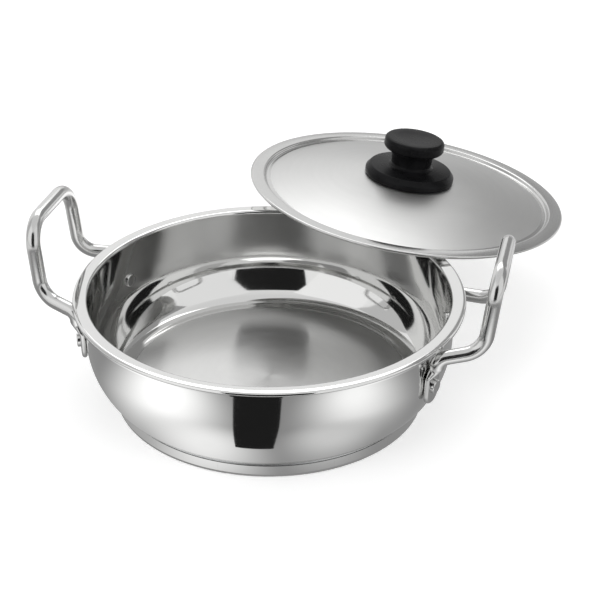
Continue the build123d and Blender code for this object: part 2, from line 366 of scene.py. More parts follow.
def straight_drop(lid):
    """Height of the step's straight part."""
    return lid.step_drop - 2 * lid.step_round * (1 - cos(lid.step_slope))


def dome_curve(lid):
    """Radius of the dome's outer face in section."""
    edge = lid.radius - lid.flange - straight_drop(lid) / tan(lid.step_slope)
    return (edge - lid.step_round * (sin(lid.step_slope) + sin(lid.dome_slope))) / sin(lid.dome_slope)


def dome_top(lid):
    """Height of the dome's middle over the flange."""
    drop = straight_drop(lid) + lid.step_round * (1 + cos(lid.dome_slope) - 2 * cos(lid.step_slope))
    return dome_curve(lid) * (1 - cos(lid.dome_slope)) - drop


def lid_matrix(pan, lid):
    """Place of the lid, on the rim where its step's circle crosses the rim's."""
    plug = lid.radius - lid.flange
    distance = pan.rim_radius + lid.offset
    crossing = (distance**2 + pan.rim_radius**2 - plug**2) / (2 * distance * pan.rim_radius)
    touch = around(pan.rim_radius, lid.azimuth - acos(crossing), 0)
    reach = (touch - around(distance, lid.azimuth, 0)).dot(around(1, lid.tilt_azimuth, 0))
    depth = (lid.step_drop + lid.sheet) / cos(lid.tilt)
    height = pan.rim_height + lid.rest_gap + depth + reach * tan(lid.tilt)
    sideways = around(1, lid.tilt_azimuth - pi / 2, 0)
    upwards = around(sin(lid.tilt), lid.tilt_azimuth, cos(lid.tilt))
    return Matrix.Translation(around(distance, lid.azimuth, height)) @ turned_to(sideways, upwards)


# Finishes. A bump is a strength and a depth in metres, and marks are counted along a piece's radius. Shades
# are factors on a colour and a spread is added to a roughness, both at the two ends of what varies.

WEAR_BUMP = (0.12, 0.0006)
POLISHED_SMUDGE = 0.04
SMUDGES = (0.45, 0.75)  # Levels of the noise between which smudges come in
SCRATCHES = (0.74, 0.8)  # The same for scratches
SCRATCH_STRETCH = (2600.0, 14.0, 60.0)  # Noise squeezed along X draws hairlines across it
SCRATCH_TURNS = ((0.0, 0.5, 0.4), (0.3, 0.5, 1.5), (0.6, 0.5, 2.6))  # One set of hairlines each
SCRATCH_ROUGHNESS = 0.06
SCRATCH_DEPTH = 0.02
SCRATCH_SHADE = 0.9
STREAKS = (0.3, 0.7)  # Levels of the noise between which streaks come in
STREAK_STRETCH = (1.0, 1.0, 0.12)
MIDDLE = 1e-5  # Marks stop turning this near to a piece's middle

BASE_MARKS = 1200.0
BASE_MARKS_BUMP = (0.5, 0.00005)

PAN_MARKS = 700.0
PAN_MARK_LENGTH = 0.8
BRUSHED_BUMP = (0.2, 0.0001)
BRUSHED_SHADES = (0.8, 0.7)
BRUSHED_SPREAD = (-0.03, 0.04)
BRUSHED_LAYER = (0.001, 0.0002)  # Heights over the floor between which the brushing comes in
BRUSHED_FADE = 0.0006  # Half of the width over which it ends at its border

LID_MARKS = 1600.0
LID_MARKS_BUMP = (0.04, 0.00005)
LID_WEAR_BUMP = (0.05, 0.0006)
LID_SHADES = (1.01, 0.97)
LID_SPREAD = (-0.02, 0.02)
LID_SMUDGE = 0.05
LID_BORDER = 0.004  # How far inside the step the brighter border starts
LID_BORDER_FADE = 0.001
LID_BORDER_ROUGHNESS = 0.16

SKIN_BUMP = (0.25, 0.0001)
RUBBED = (0.4, 0.75)  # Levels of the noise between which rubbed patches come in
RUBBED_SHADE = 2
RUBBED_SPREAD = (-0.06, 0.08)
BAKELITE_SHINE = 0.08

METAL_MARKS = 2500.0
METAL_MARKS_BUMP = (0.4, 0.00008)
METAL_SHADES = (1.0, 0.85)
METAL_SPREAD = (-0.08, 0.1)


def feed(tree, socket, value):
    """Feeds an input with another node's output or with a value."""
    if isinstance(value, bpy.types.NodeSocket):
        tree.links.new(value, socket)
    elif value is not None:
        socket.default_value = value


def add_node(tree, kind, inputs=None, **settings):
    """A node of a kind, with its settings made and its inputs fed."""
    node = tree.nodes.new(f"ShaderNode{kind}")
    for setting, value in settings.items():
        setattr(node, setting, value)
    for socket, value in (inputs or {}).items():
        feed(tree, node.inputs[socket], value)
    return node


def math_node(tree, operation, first, second=None, clamp=False):
    """A Math node. Returns its output."""
    return add_node(tree, "Math", {0: first, 1: second}, operation=operation, use_clamp=clamp).outputs[0]


def noise_node(tree, vector, scale, detail, roughness=0.5):
    """A Noise Texture read at a vector. Returns its value, from 0 to 1."""
    inputs = {"Vector": vector, "Scale": scale, "Detail": detail, "Roughness": roughness}
    return add_node(tree, "TexNoise", inputs).outputs["Fac"]


def range_node(tree, value, low, high, to_low=0.0, to_high=1.0, interpolation="LINEAR"):
    """A Map Range node, clamped. Returns its output."""
    inputs = {"Value": value, "From Min": low, "From Max": high, "To Min": to_low, "To Max": to_high}
    return add_node(tree, "MapRange", inputs, interpolation_type=interpolation).outputs["Result"]


def mix_colour(tree, mask, first, second):
    """A colour between two, by a mask. Returns the output."""
    inputs = {0: mask}
    for socket, colour in ((6, first), (7, second)):
        inputs[socket] = colour if isinstance(colour, bpy.types.NodeSocket) else (*colour, 1)
    return add_node(tree, "Mix", inputs, data_type="RGBA").outputs[2]


def shade(colour, factor):
    """A lighter or darker colour."""
    return tuple(min(1.0, factor * part) for part in colour)


def spread_of(value, spread):
    """A value with each end of a spread added."""
    return [value + change for change in spread]


def new_group(name, values, outputs):
    """A group that reads a position and named values. Returns its tree, input node and output node."""
    tree = bpy.data.node_groups.new(name, "ShaderNodeTree")
    tree.interface.new_socket(name="Position", in_out="INPUT", socket_type="NodeSocketVector")
    for socket, value in values.items():
        made = tree.interface.new_socket(name=socket, in_out="INPUT", socket_type="NodeSocketFloat")
        made.default_value = value
    for socket in outputs:
        tree.interface.new_socket(name=socket, in_out="OUTPUT", socket_type="NodeSocketFloat")
    return tree, tree.nodes.new("NodeGroupInput"), tree.nodes.new("NodeGroupOutput")


def build_turning_marks():
    """Fine circular marks about Z, as a polishing wheel leaves them on a piece that spins."""
    tree, given, result = new_group(
        "Turning marks", {"Marks per Metre": 900.0, "Length": 1.0}, ("Height", "Streak", "Radius")
    )
    split = add_node(tree, "SeparateXYZ", {0: given.outputs["Position"]})
    squares = [math_node(tree, "POWER", split.outputs[axis], 2.0) for axis in "XY"]
    radius = math_node(tree, "SQRT", math_node(tree, "ADD", *squares))
    safe = math_node(tree, "MAXIMUM", radius, MIDDLE)
    shortness = math_node(tree, "DIVIDE", 1.0, given.outputs["Length"])
    ways = [math_node(tree, "DIVIDE", split.outputs[axis], safe) for axis in "XY"]
    across, along = [math_node(tree, "MULTIPLY", way, shortness) for way in ways]
    outwards = math_node(tree, "MULTIPLY", radius, given.outputs["Marks per Metre"])
    lap = add_node(tree, "CombineXYZ", {"X": across, "Y": along, "Z": outwards}).outputs[0]
    wide = add_node(tree, "VectorMath", {0: lap, 1: STREAK_STRETCH}, operation="MULTIPLY").outputs[0]
    feed(tree, result.inputs["Height"], noise_node(tree, lap, scale=1.0, detail=6.0, roughness=0.7))
    feed(tree, result.inputs["Streak"], noise_node(tree, wide, scale=1.3, detail=4.0, roughness=0.6))
    feed(tree, result.inputs["Radius"], radius)
    return tree


def build_handling_wear():
    """Faint smudges and hairline scratches, as a polished piece gets from being handled."""
    tree, given, result = new_group(
        "Handling wear", {"Base Roughness": 0.05, "Smudge": 0.05}, ("Roughness", "Height", "Scratch")
    )
    position = given.outputs["Position"]
    smudge = range_node(tree, noise_node(tree, position, scale=28.0, detail=5.0, roughness=0.62), *SMUDGES)
    scratches = None
    for turned in SCRATCH_TURNS:
        inputs = {"Vector": position, "Rotation": turned, "Scale": SCRATCH_STRETCH}
        grain = noise_node(tree, add_node(tree, "Mapping", inputs).outputs[0], scale=1.0, detail=1.0)
        line = range_node(tree, grain, *SCRATCHES)
        scratches = line if scratches is None else math_node(tree, "MAXIMUM", scratches, line)
    smudged = math_node(tree, "MULTIPLY", smudge, given.outputs["Smudge"])
    rough = math_node(tree, "ADD", given.outputs["Base Roughness"], smudged)
    scratched = math_node(tree, "MULTIPLY", scratches, SCRATCH_ROUGHNESS)
    swell = noise_node(tree, position, scale=14.0, detail=2.0)
    cut = math_node(tree, "MULTIPLY", scratches, SCRATCH_DEPTH)
    feed(tree, result.inputs["Roughness"], math_node(tree, "ADD", rough, scratched))
    feed(tree, result.inputs["Height"], math_node(tree, "SUBTRACT", swell, cut))
    feed(tree, result.inputs["Scratch"], scratches)
    return tree


def marks_node(tree, position, marks, mark_length=1.0):
    """The turning marks, read at a position. Their group is built the first time it is used."""
    group = bpy.data.node_groups.get("Turning marks") or build_turning_marks()
    inputs = {"Position": position, "Marks per Metre": marks, "Length": mark_length}
    return add_node(tree, "Group", inputs, node_tree=group)


def wear_node(tree, position, roughness, smudge):
    """The handling wear, read at a position. Its group is built the first time it is used."""
    group = bpy.data.node_groups.get("Handling wear") or build_handling_wear()
    inputs = {"Position": position, "Base Roughness": roughness, "Smudge": smudge}
    return add_node(tree, "Group", inputs, node_tree=group)


def new_material(name, colour, roughness, metallic=1.0, place=None):
    """A material and the piece's own position. Returns it, its tree, its shader and that position."""
    material = bpy.data.materials.new(name)
    material.use_nodes = True
    tree = material.node_tree
    shader = tree.nodes["Principled BSDF"]
    shader.inputs["Base Color"].default_value = (*colour, 1)
    shader.inputs["Roughness"].default_value = roughness
    shader.inputs["Metallic"].default_value = metallic
    position = add_node(tree, "TexCoord").outputs["Object"]
    if place is not None:
        inputs = {"Vector": position, "Location": place.to_translation(), "Rotation": place.to_euler()}
        position = add_node(tree, "Mapping", inputs, vector_type="TEXTURE").outputs["Vector"]
    return material, tree, shader, position


def add_bump(tree, shader, height, bump):
    """A Bump node between a height and the shader's normal, after any that is already there."""
    strength, depth = bump
    normal = shader.inputs["Normal"]
    before = normal.links[0].from_socket if normal.is_linked else None
    inputs = {"Strength": strength, "Distance": depth, "Height": height, "Normal": before}
    feed(tree, normal, add_node(tree, "Bump", inputs).outputs["Normal"])


def brush_round(tree, shader, brushing):
    """Stretches the shader's reflections across brush marks that run round the piece's middle."""
    shader.inputs["Anisotropic"].default_value = brushing
    tangent = add_node(tree, "Tangent", direction_type="RADIAL", axis="Z")
    feed(tree, shader.inputs["Tangent"], tangent.outputs["Tangent"])


def streak_round(tree, marks, colour, shades, roughness, spread):
    """A colour and a roughness that vary with the streaks of the turning marks. Returns both outputs."""
    streak = marks.outputs["Streak"]
    rough = range_node(tree, streak, *STREAKS, *spread_of(roughness, spread))
    return mix_colour(tree, streak, *(shade(colour, factor) for factor in shades)), rough


def polished_steel(name, colour, roughness, turned=False):
    """Mirror-polished steel with faint handling wear and, on a turned piece, faint circular marks."""
    material, tree, shader, position = new_material(name, colour, roughness)
    wear = wear_node(tree, position, roughness, POLISHED_SMUDGE)
    feed(tree, shader.inputs["Roughness"], wear.outputs["Roughness"])
    scratched = mix_colour(tree, wear.outputs["Scratch"], colour, shade(colour, SCRATCH_SHADE))
    feed(tree, shader.inputs["Base Color"], scratched)
    add_bump(tree, shader, wear.outputs["Height"], WEAR_BUMP)
    if turned:
        add_bump(tree, shader, marks_node(tree, position, BASE_MARKS).outputs["Height"], BASE_MARKS_BUMP)
    return material


def pan_steel(finishes, pan):
    """Mirror-polished wall and rim, with a brushed floor inside a polished ring."""
    material, tree, shader, position = new_material("Pan steel", finishes.steel, finishes.polish)
    wear = wear_node(tree, position, finishes.polish, POLISHED_SMUDGE)
    marks = marks_node(tree, position, PAN_MARKS, PAN_MARK_LENGTH)
    height = add_node(tree, "SeparateXYZ", {0: position}).outputs["Z"]
    floor_height = pan.cap_sheet + pan.core_thickness + pan.sheet
    low = range_node(tree, height, *spread_of(floor_height, BRUSHED_LAYER))
    edge = finishes.satin_radius
    inside = range_node(tree, marks.outputs["Radius"], edge + BRUSHED_FADE, edge - BRUSHED_FADE)
    satin = math_node(tree, "MULTIPLY", low, inside)
    brushed, rough = streak_round(tree, marks, finishes.steel, BRUSHED_SHADES, finishes.satin, BRUSHED_SPREAD)
    mixed = range_node(tree, satin, 0.0, 1.0, wear.outputs["Roughness"], rough)
    feed(tree, shader.inputs["Roughness"], mixed)
    feed(tree, shader.inputs["Base Color"], mix_colour(tree, satin, finishes.steel, brushed))
    polished = math_node(tree, "SUBTRACT", 1.0, satin)
    add_bump(tree, shader, math_node(tree, "MULTIPLY", wear.outputs["Height"], polished), WEAR_BUMP)
    add_bump(tree, shader, math_node(tree, "MULTIPLY", marks.outputs["Height"], satin), BRUSHED_BUMP)
    brush_round(tree, shader, finishes.brushing)
    return material


def lid_steel(finishes, lid, place):
    """Satin-polished steel with circular marks about the lid's own axis and a brighter border."""
    base = finishes.lid_polish
    material, tree, shader, position = new_material("Lid steel", finishes.lid_steel, base, place=place)
    marks = marks_node(tree, position, LID_MARKS)
    streaked, rough = streak_round(tree, marks, finishes.lid_steel, LID_SHADES, base, LID_SPREAD)
    dome_end = lid.radius - lid.flange - LID_BORDER
    border = range_node(tree, marks.outputs["Radius"], dome_end, dome_end + LID_BORDER_FADE)
    mixed = range_node(tree, border, 0.0, 1.0, rough, LID_BORDER_ROUGHNESS)
    wear = wear_node(tree, position, mixed, LID_SMUDGE)
    feed(tree, shader.inputs["Roughness"], wear.outputs["Roughness"])
    feed(tree, shader.inputs["Base Color"], streaked)
    add_bump(tree, shader, wear.outputs["Height"], LID_WEAR_BUMP)
    add_bump(tree, shader, marks.outputs["Height"], LID_MARKS_BUMP)
    brush_round(tree, shader, finishes.lid_brushing)
    return material


def bakelite(finishes, place):
    """Black phenolic moulding: half gloss, a fine skin and rubbed, slightly greyer patches."""
    black, polish = finishes.bakelite, finishes.knob_polish
    material, tree, shader, position = new_material("Bakelite", black, polish, metallic=0.0, place=place)
    shader.inputs["Specular IOR Level"].default_value = BAKELITE_SHINE
    rubbed = range_node(tree, noise_node(tree, position, scale=60.0, detail=4.0, roughness=0.6), *RUBBED)
    rough = range_node(tree, rubbed, 0.0, 1.0, *spread_of(polish, RUBBED_SPREAD))
    feed(tree, shader.inputs["Roughness"], rough)
    feed(tree, shader.inputs["Base Color"], mix_colour(tree, rubbed, black, shade(black, RUBBED_SHADE)))
    add_bump(tree, shader, noise_node(tree, position, scale=900.0, detail=3.0), SKIN_BUMP)
    return material


def plain_metal(name, colour, roughness, place=None):
    """Turned or drawn metal of a hidden piece."""
    material, tree, shader, position = new_material(name, colour, roughness, place=place)
    marks = marks_node(tree, position, METAL_MARKS)
    streaked, rough = streak_round(tree, marks, colour, METAL_SHADES, roughness, METAL_SPREAD)
    feed(tree, shader.inputs["Roughness"], rough)
    feed(tree, shader.inputs["Base Color"], streaked)
    add_bump(tree, shader, marks.outputs["Height"], METAL_MARKS_BUMP)
    return material


# Pieces


class KADAI_OT_base(bpy.types.Operator):
    """Builds the base: the pressed steel cap, and the finish of the disc inside it"""

    bl_idname = "kadai.base"
    bl_label = "Base"

    def execute(self, context):
        pan, finishes = context.scene.kadai_pan, context.scene.kadai_finishes
        mesh = bmesh.new()
        cap = Outline(mesh, 0, 0)
        side = pan.cap_height - pan.cap_edge
        cap.sheet([pan.base_radius - pan.cap_edge, (pan.cap_edge, pi / 2), side], -pan.cap_sheet)
        revolve(mesh)
        steel = polished_steel("Base steel", finishes.steel, finishes.base_polish, turned=True)
        make_piece(mesh, "base_cap_dressed", "pan", "base_cap", steel)
        dress_node("base_core", plain_metal("Aluminium", finishes.aluminium, finishes.core_polish))
        return {"FINISHED"}


class KADAI_OT_bowl(bpy.types.Operator):
    """Builds the pan's sheet: floor, corner, belly, flare and rolled rim"""

    bl_idname = "kadai.bowl"
    bl_label = "Bowl"

    def execute(self, context):
        pan, finishes = context.scene.kadai_pan, context.scene.kadai_finishes
        underside = pan.cap_sheet + pan.core_thickness
        corner_rise = asin((pan.belly_height - underside - pan.corner) / (pan.belly_curve - pan.corner))
        flare_centre = pan.upper_curve - pan.sheet + pan.flare
        upper_rise = asin((pan.rim_height - pan.flare - pan.belly_height) / flare_centre)
        floor_radius = curve_centre(pan, pan.belly_curve) + (pan.belly_curve - pan.corner) * cos(corner_rise)
        flare_end = curve_centre(pan, pan.upper_curve) + flare_centre * cos(upper_rise)
        runs = [
            floor_radius,
            (pan.corner - pan.sheet, pi / 2 - corner_rise),
            (pan.belly_curve - pan.sheet, corner_rise),
            (pan.upper_curve - pan.sheet, upper_rise),
            (pan.flare, -pi / 2 - upper_rise),
            pan.rim_radius - pan.rim_curl - flare_end,
            (pan.rim_curl, -pi / 2),
            pan.rim_lip,
        ]
        mesh = bmesh.new()
        Outline(mesh, 0, underside + pan.sheet).sheet(runs, pan.sheet)
        revolve(mesh)
        make_piece(mesh, "bowl_dressed", "pan", "bowl", pan_steel(finishes, pan))
        return {"FINISHED"}


class KADAI_OT_handles(bpy.types.Operator):
    """Builds both rod handles with their flat tabs"""

    bl_idname = "kadai.handles"
    bl_label = "Handles"

    def execute(self, context):
        scene = context.scene
        pan, handle, finishes = scene.kadai_pan, scene.kadai_handles, scene.kadai_finishes
        steel = polished_steel("Rod steel", finishes.rod_steel, finishes.rod_polish)
        for name, side in (("handle_right", 1), ("handle_left", -1)):
            mesh = bmesh.new()
            self.build_half(mesh, pan, handle)
            half = mesh.verts[:] + mesh.edges[:] + mesh.faces[:]
            bmesh.ops.mirror(mesh, geom=half, axis="Y", merge_dist=10 * SAME_POINT)
            bmesh.ops.scale(mesh, vec=(side, 1, 1), verts=mesh.verts[:])
            close_skin(mesh)
            make_piece(mesh, f"{name}_dressed", "pan", name, steel)
        return {"FINISHED"}

    def ring(self, mesh, place, radius, spread):
        """A rod's section with its two halves moved apart by a spread each, which presses it flat."""
        circle = {"radius": radius, "segments": ROD_SEGMENTS, "matrix": place}
        made = bmesh.ops.create_circle(mesh, cap_ends=False, **circle)
        verts = made["verts"]
        for side in (1, -1):
            half = [vert for vert in verts if side * (place.inverted() @ vert.co).x > SAME_POINT]
            bmesh.ops.translate(mesh, vec=side * spread * place.col[0].to_3d(), verts=half)
        return verts, list({edge for vert in verts for edge in vert.link_edges})

    def build_half(self, mesh, pan, handle):
        """The front half of a handle: the tab, the swelling above it, and the rod up to the grip's middle."""
        angle = -handle.foot_angle
        foot = foot_matrix(pan, handle, angle)
        middle = handle.tab_gap + handle.tab_thickness / 2
        thin, spread = handle.tab_thickness / 2, (handle.tab_width - handle.tab_thickness) / 2
        stand = Matrix.Rotation(-pi / 2, 4, "X")
        tip = foot @ Matrix.Translation((0, handle.tab_width / 2 - handle.tab_below, middle))
        tab_top = foot @ Matrix.Translation((0, handle.tab_above, middle)) @ stand

        tip_verts, tip_edges = self.ring(mesh, tip @ stand, thin, spread)
        outer = [vert for vert in tip_verts if (tip.inverted() @ vert.co).x > -SAME_POINT]
        outer_edges = [edge for edge in tip_edges if all(vert in outer for vert in edge.verts)]
        end = {"cent": tip.translation, "axis": foot.col[2].to_3d(), "angle": -pi, "steps": TAB_END_STEPS}
        bmesh.ops.spin(mesh, geom=outer + outer_edges, use_merge=False, **end)

        root_height = handle.rivet_height + handle.root_rise
        root_reach = wall_reach(pan, root_height) + handle.rod + handle.rod_gap
        upright = turned_to(around(1, angle + pi / 2, 0), Vector((0, 0, 1)))
        root = Matrix.Translation(around(root_reach, angle, root_height)) @ upright
        previous = tip_edges
        for step in range(ROOT_STEPS + 1):
            part = step / ROOT_STEPS
            eased = part * part * (3 - 2 * part)
            place = tab_top.lerp(root, part)
            place.translation = tab_top.translation.lerp(root.translation, part)
            radius = thin + (handle.rod - thin) * eased
            verts, edges = self.ring(mesh, place, radius, spread * (1 - eased))
            bmesh.ops.bridge_loops(mesh, edges=previous + edges)
            previous = edges

        loop_reach, grip_reach = pan.rim_radius + handle.loop_overhang, pan.rim_radius + handle.grip_overhang
        grip_height = pan.rim_height + handle.grip_rise
        corners = [
            around(root_reach, angle, root_height + handle.neck_length),
            Vector((loop_reach, -handle.loop_half_width, pan.rim_height - handle.loop_drop)),
            Vector((grip_reach, -handle.grip_half_width, grip_height)),
        ]
        middle_of_grip = Vector((grip_reach, 0, grip_height))
        where = root.translation
        ring = verts + previous
        bends = (handle.neck_bend, handle.loop_bend, handle.grip_bend)
        for corner, radius, beyond in zip(corners, bends, corners[1:] + [middle_of_grip]):
            ahead, after = (corner - where).normalized(), (beyond - corner).normalized()
            bent = ahead.angle(after)
            tangent = radius * tan(bent / 2)
            ring = self.straight(mesh, ring, corner - ahead * tangent - where)
            axis = ahead.cross(after).normalized()
            centre = corner - ahead * tangent + axis.cross(ahead) * radius
            arc = {"cent": centre, "axis": axis, "angle": bent, "steps": ceil(bent / ROD_ANGLE)}
            ring = bmesh.ops.spin(mesh, geom=ring, use_merge=False, **arc)["geom_last"]
            where = corner + after * tangent
        self.straight(mesh, ring, middle_of_grip - where)

    def straight(self, mesh, ring, move):
        """A straight length of rod on the end of a ring. Returns the new ring."""
        edges = [part for part in ring if isinstance(part, bmesh.types.BMEdge)]
        made = bmesh.ops.extrude_edge_only(mesh, edges=edges)["geom"]
        verts = [part for part in made if isinstance(part, bmesh.types.BMVert)]
        bmesh.ops.translate(mesh, vec=move, verts=verts)
        chosen = set(verts)
        edges = [part for part in made if isinstance(part, bmesh.types.BMEdge)]
        return verts + [edge for edge in edges if all(vert in chosen for vert in edge.verts)]


class KADAI_OT_rivets(bpy.types.Operator):
    """Builds the four rivets, each with a head over the tab and one inside the pan"""

    bl_idname = "kadai.rivets"
    bl_label = "Rivets"

    def execute(self, context):
        scene = context.scene
        pan, handle, finishes = scene.kadai_pan, scene.kadai_handles, scene.kadai_finishes
        steel = polished_steel("Rivet steel", finishes.rod_steel, finishes.rivet_polish)
        tab_face = handle.tab_gap + handle.tab_thickness + handle.seat_gap
        curve_drop = handle.head_radius**2 / (2 * (pan.belly_curve - pan.sheet))
        inner_seat = -pan.sheet - curve_drop - handle.seat_gap
        flat = handle.head_radius - handle.head_edge
        for name, (across, along) in RIVETS.items():
            mesh = bmesh.new()
            line = Outline(mesh, 0, inner_seat - handle.inner_head_height)
            line.run(flat)
            line.bend(handle.head_edge, pi / 2)
            line.to(handle.head_radius, inner_seat)
            line.to(handle.shank_radius, inner_seat)
            line.to(handle.shank_radius, tab_face)
            line.to(handle.head_radius, tab_face)
            line.to(handle.head_radius, tab_face + handle.head_height - handle.head_edge)
            line.bend(handle.head_edge, pi / 2)
            line.to(0, tab_face + handle.head_height)
            revolve(mesh, RIVET_STEPS)
            angle = along * handle.foot_angle if across > 0 else pi - along * handle.foot_angle
            bmesh.ops.transform(mesh, matrix=foot_matrix(pan, handle, angle), verts=mesh.verts[:])
            make_piece(mesh, f"rivet_{name}_dressed", "pan", f"rivet_{name}", steel)
        return {"FINISHED"}


class KADAI_OT_lid(bpy.types.Operator):
    """Builds the lid's sheet: dome, groove, step, flange and hem"""

    bl_idname = "kadai.lid"
    bl_label = "Lid"

    def execute(self, context):
        scene = context.scene
        pan, lid, finishes = scene.kadai_pan, scene.kadai_lid, scene.kadai_finishes
        place = lid_matrix(pan, lid)
        plug = lid.radius - lid.flange
        flange = lid.radius - lid.hem - plug - lid.step_round * sin(lid.step_slope)
        runs = [
            (dome_curve(lid), -lid.dome_slope),
            (lid.step_round, lid.dome_slope + lid.step_slope),
            straight_drop(lid) / sin(lid.step_slope),
            (lid.step_round, -lid.step_slope),
            flange,
            (lid.hem, -lid.hem_turn),
        ]
        mesh = bmesh.new()
        Outline(mesh, 0, dome_top(lid)).sheet(runs, lid.sheet)
        revolve(mesh)
        bmesh.ops.transform(mesh, matrix=place, verts=mesh.verts[:])
        make_piece(mesh, "lid_dish_dressed", "lid", "lid_dish", lid_steel(finishes, lid, place))
        return {"FINISHED"}


class KADAI_OT_knob(bpy.types.Operator):
    """Builds the moulded knob, and finishes its insert, washer and screw"""

    bl_idname = "kadai.knob"
    bl_label = "Knob"

    def execute(self, context):
        scene = context.scene
        pan, lid, knob, finishes = scene.kadai_pan, scene.kadai_lid, scene.kadai_knob, scene.kadai_finishes
        place = lid_matrix(pan, lid)
        base = dome_top(lid) + knob.seat_gap
        foot_top = base + knob.foot_height
        waist_top = foot_top + knob.waist_height
        collar_top = waist_top + knob.collar_height
        top = collar_top + knob.cap_thickness
        under = knob.foot_radius - knob.foot_chamfer
        curve = dome_curve(lid)

        def seat_height(reach):
            """Height of the knob's seat, which follows the dome."""
            return base - curve + sqrt(curve**2 - reach**2)

        edge = seat_height(under)
        dish_curve = (knob.dish_radius**2 + knob.dish_depth**2) / (2 * knob.dish_depth)
        dish_slope = asin(knob.dish_radius / dish_curve)
        mesh = bmesh.new()
        line = Outline(mesh, 0, base + knob.insert_length)
        for reach, height in (
            (knob.insert_radius, base + knob.insert_length),
            (knob.insert_radius, seat_height(knob.insert_radius)),
            (under, edge),
            (knob.foot_radius, edge + knob.foot_chamfer),
            (knob.foot_radius, edge + knob.foot_chamfer + knob.foot_edge),
            (knob.foot_radius - knob.foot_bevel, foot_top - knob.waist_flare / 2),
            (knob.waist_radius + knob.waist_flare, foot_top),
            (knob.waist_radius, foot_top + knob.waist_flare),
            (knob.waist_radius + knob.waist_flare / 2, waist_top),
            (knob.collar_radius, waist_top),
            (knob.collar_radius, collar_top),
            (knob.cap_radius - knob.cap_rounding, collar_top),
        ):
            line.to(reach, height)
        line.heading = 0
        line.bend(knob.cap_rounding, pi / 2)
        line.run(knob.cap_thickness - 2 * knob.cap_rounding)
        line.bend(knob.cap_rounding, pi / 2)
        line.to(knob.dish_radius, top)
        line.heading = pi + dish_slope
        line.bend(dish_curve, -dish_slope)
        revolve(mesh, KNOB_STEPS)
        sharp = [edge for edge in mesh.edges if edge.is_manifold and edge.calc_face_angle() > MOULDED_EDGE]
        bevel = {"affect": "EDGES", "segments": 3, "profile": 0.5, "material": -1, "clamp_overlap": True}
        bmesh.ops.bevel(mesh, geom=sharp, offset=knob.edge_softening, **bevel)
        bmesh.ops.transform(mesh, matrix=place, verts=mesh.verts[:])
        make_piece(mesh, "knob_dressed", "lid", "knob", bakelite(finishes, place))
        dress_node("knob_insert", plain_metal("Brass", finishes.brass, finishes.insert_polish, place))
        zinc = plain_metal("Zinc", finishes.zinc, finishes.fixing_polish, place)
        dress_node("knob_washer", zinc)
        dress_node("knob_screw", zinc)
        return {"FINISHED"}


# Studio. A place is an angle to the right of the camera, one over the floor and a distance, from the pan.

AIM = (0, 0, 0.05)
SIDE_SOFTBOX_SIZE = (0.95, 1.0)
# A side lamp is hidden from reflections, and a card that glows at the face's level paints its highlight in
# the steel.
SIDE_SOFTBOXES = (  # Side, place, power, level of the face
    ("Left", (-52, 36, 1.3), 4.6, 1.08),
    ("Right", (50, 36, 1.3), 4, 0.94),
)
REAR_SOFTBOX = ((178, 53, 1.5), 1.3, 0.8, 5)  # Place, width, height, power
DARK = 0.015
GREY = 0.35
PALE = 0.6
# The cards glow at their level and only reflections show them: painted reflections of dark, grey and pale
# cards in the steel.
CARDS = (  # Name, place, width, height, level
    ("Front card", (1, 26, 1.5), 1.25, 1.3, DARK),
    ("Left flag", (-100, 26, 1.3), 0.75, 1.2, PALE),
    ("Right flag", (98, 26, 1.3), 0.7, 1.2, GREY),
    ("Right rear card", (142, 34, 1.5), 1.1, 1.0, GREY),
    ("Rear low card", (170, 8, 1.5), 1.7, 0.45, PALE),
)
# The rounds glow and only reflections show them: painted pools of light in the steel's reflection of the
# floor, and in the largest a painted pool of shade.
POOLS = (  # Name, place, radius, width of the soft edge, level
    ("Painted shade pool", (0, 0.2, 0.22), 0.48, 0.2, 0.32),
    ("Left pool", (-47, 0.6, 0.19), 0.13, 0.12, 1.5),
    ("Right pool", (40, 0.6, 0.2), 0.115, 0.11, 1.25),
    ("Near left pool", (-22, 1.0, 0.108), 0.055, 0.05, 1.05),
    ("Near right pool", (24, 1.0, 0.122), 0.05, 0.045, 0.75),
    ("Rear pool", (165, 0.45, 0.26), 0.2, 0.12, 1.5),
)
# A dark strip on the floor that only reflections show: a painted dark reflection in the pan's front wall.
STRIP_ANGLE = -4.2
STRIP_ENDS = ((0.109, 0.026), (0.25, 0.1))  # Distance and width
STRIP_HEIGHT = 0.003
FLOOR_RADIUS = 6.0
STAGE_STEPS = 64
SENSOR_WIDTH = 36
AMBIENT = 0.5  # What the world gives to the light itself
WALL_LEVELS = (0.5, 0.9, 1.0, 0.8)  # Heights of a direction between which the seen world dims, and its levels


def from_camera_side(studio, place):
    """The point at a place."""
    azimuth, elevation, distance = place
    angle = studio.camera_azimuth - pi / 2 + radians(azimuth)
    return around(distance * cos(radians(elevation)), angle, distance * sin(radians(elevation)))


def bare_material(name):
    """A material without nodes. Returns it and its tree."""
    material = bpy.data.materials.new(name)
    material.use_nodes = True
    material.node_tree.nodes.clear()
    return material, material.node_tree


def glow_node(tree, level):
    """An even glow. Returns its output."""
    return add_node(tree, "Emission", {"Color": (level, level, level, 1)}).outputs[0]


def glow(name, level):
    """A card's material, which is seen at a plain level: a glow that paints the card's reflection in the
    steel.
    """
    material, tree = bare_material(name)
    add_node(tree, "OutputMaterial", {0: glow_node(tree, level)})
    return material


def only_reflected(name, mesh, material):
    """Puts a stage mesh in the scene that only reflections show: a painted reflection in the steel, which
    lights nothing and casts no shadow.
    """
    made = place_mesh(name, mesh, material)
    made.visible_camera = False
    made.visible_diffuse = False
    made.visible_shadow = False
    made.visible_transmission = False


